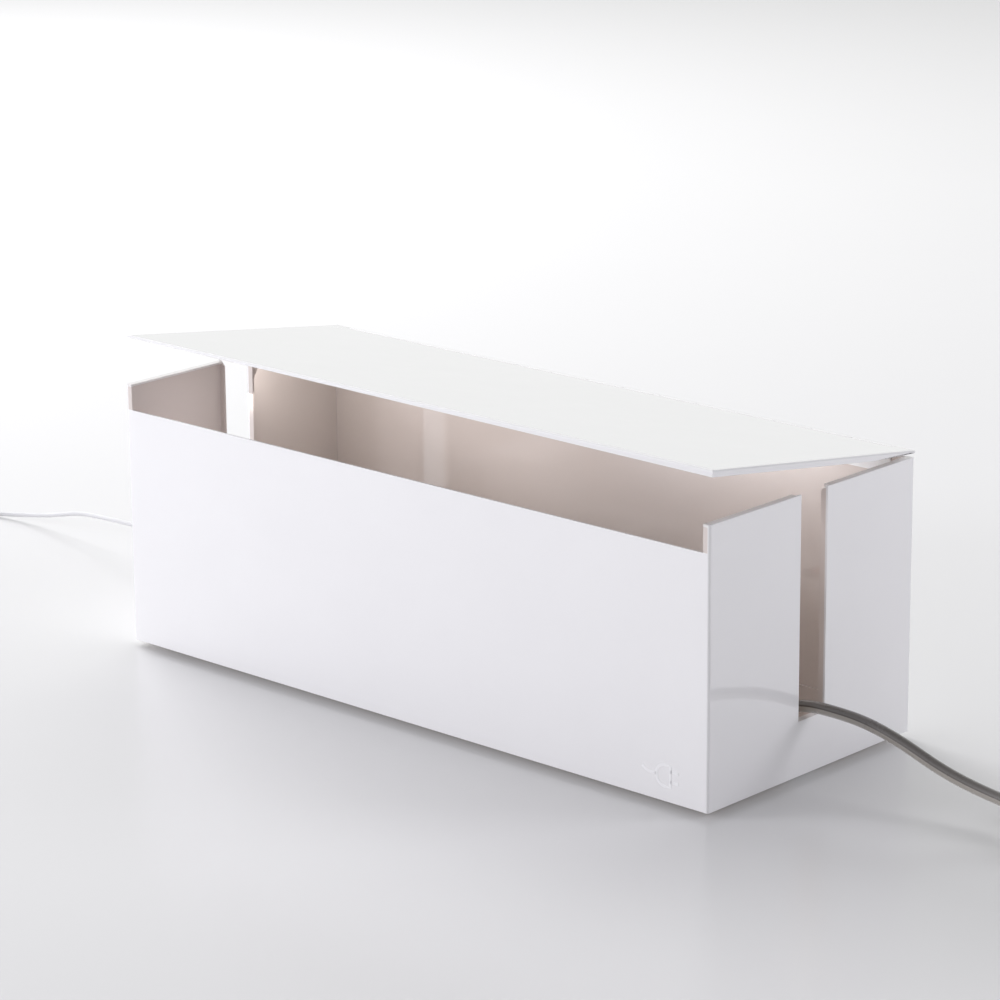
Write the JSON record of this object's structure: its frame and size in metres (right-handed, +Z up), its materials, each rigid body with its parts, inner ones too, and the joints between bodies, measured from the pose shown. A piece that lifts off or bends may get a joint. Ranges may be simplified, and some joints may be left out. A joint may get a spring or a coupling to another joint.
{
  "type": "cable tray",
  "caption": "White folded steel cable tray box with an open cable slot in each end, a hinged lid standing ajar, and a switched power strip and small charger inside with their leads.",
  "frame": {"origin": "on the standing surface, under the middle of the box", "axes": "+X along the length towards the end the mains lead leaves, front panel faces -Y, hinge at +Y, +Z up"},
  "size_m": [0.9848, 0.1574, 0.1711],
  "materials": {
    "white_coat": "glossy white powder coat",
    "pin_steel": "drawn wire",
    "silicone": "matte",
    "strip_white": "fine spark texture",
    "insert_white": "fine spark texture",
    "brass": "stamped",
    "wire_brown": "smooth",
    "wire_blue": "smooth",
    "wire_green": "smooth",
    "screw_steel": "zinc plated",
    "bezel_black": "satin",
    "rocker_red": "gloss",
    "lead_grey": "smooth jacket",
    "moulding_grey": "moulded",
    "tie_black": "hook and loop",
    "contact_metal": "nickel plated",
    "charger_white": "gloss",
    "lead_light": "smooth jacket",
    "light_moulding": "satin"
  },
  "bodies": {
    "tray": {"outer_wrap": "white_coat", "back_panel": "white_coat", "base_plate": "white_coat", "hinge_fixed_leaf": "white_coat", "hinge_pin": "pin_steel", "foot_pads": "silicone", "strip_base": "strip_white", "strip_cover": "strip_white", "socket_inserts": "insert_white", "live_bar": "brass", "neutral_bar": "brass", "earth_bar": "brass", "live_wire": "wire_brown", "neutral_wire": "wire_blue", "earth_wire": "wire_green", "strip_screws": "screw_steel", "switch_frame": "bezel_black", "lead_relief": "moulding_grey", "mains_lead": "lead_grey", "mains_lead_coil": "lead_grey", "mains_lead_tail": "lead_grey", "mains_lead_tie": "tie_black", "mains_plug": "moulding_grey", "mains_plug_pins": "contact_metal", "charger_body": "charger_white", "charger_pins": "contact_metal", "charger_port": "contact_metal", "device_plug": "light_moulding", "device_plug_shell": "contact_metal", "device_lead": "lead_light", "device_lead_coil": "lead_light", "device_lead_tail": "lead_light", "device_lead_tie": "light_moulding", "device_connector": "light_moulding", "device_connector_shell": "contact_metal"},
    "lid": {"lid_panel": "white_coat", "hinge_lid_leaf": "white_coat"},
    "rocker": {"switch_rocker": "rocker_red"}
  },
  "joints": [
    {"name": "lid_hinge", "type": "hinge", "parent": "tray", "child": "lid", "pos_m": [0, 0.0777, 0.1468], "axis": [-1, 0, 0], "range_deg": [-8.4, 101.6]},
    {"name": "switch_pivot", "type": "hinge", "parent": "tray", "child": "rocker", "pos_m": [0.09, 0, 0.0402], "axis": [0, 1, 0], "range_deg": [-16, 0]}
  ]
}
